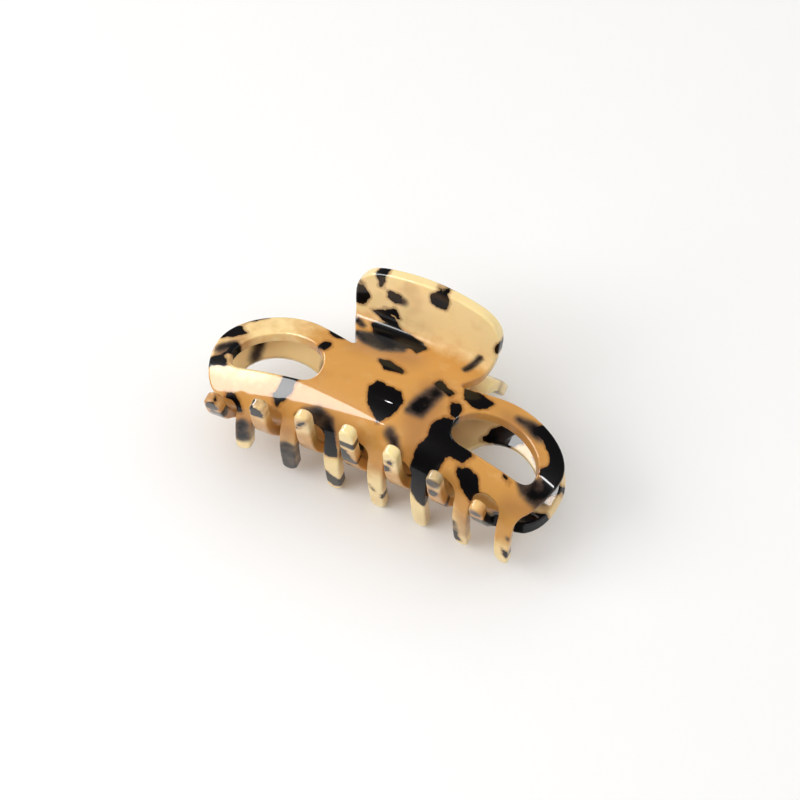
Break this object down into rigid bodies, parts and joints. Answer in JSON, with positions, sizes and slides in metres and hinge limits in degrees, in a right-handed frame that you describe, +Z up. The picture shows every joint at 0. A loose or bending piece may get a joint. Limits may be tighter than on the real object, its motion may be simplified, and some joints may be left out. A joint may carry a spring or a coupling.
{
  "type": "claw clip",
  "caption": "Hair claw clip in tortoiseshell acetate: two toothed jaws with finger tabs and D-shaped ear holes, hinged on a sprung steel pin.",
  "frame": {"origin": "on the table under the middle of the closed clip's box, as it lies on its side", "axes": "+X along the hinge, +Y towards the finger tabs, +Z up, out through the upper jaw"},
  "size_m": [0.1008, 0.0558, 0.0486],
  "materials": {
    "acetate_upper": "polished blonde tortoiseshell acetate, pale amber with black and smoky patches",
    "acetate_lower": "polished blonde tortoiseshell acetate, amber with black and smoky patches",
    "acetate_lug": "polished amber acetate",
    "pin_steel": "bright drawn steel with formed heads",
    "spring_steel": "bright spring steel wire"
  },
  "bodies": {
    "lower": {"lower_jaw": "acetate_lower", "lower_outer_lug": "acetate_lug", "lower_inner_lug": "acetate_lug", "hinge_pin": "pin_steel", "torsion_spring": "spring_steel"},
    "upper": {"upper_jaw": "acetate_upper", "upper_outer_lug": "acetate_lug", "upper_inner_lug": "acetate_lug"}
  },
  "joints": [
    {"name": "jaw_hinge", "type": "hinge", "parent": "lower", "child": "upper", "pos_m": [0, 0.01361, 0.02332], "axis": [-1, 0, 0], "range_deg": [0, 90], "stiffness_Nm_per_rad": 0.1, "springref_deg": -68.75, "deforming": ["torsion_spring"]}
  ]
}
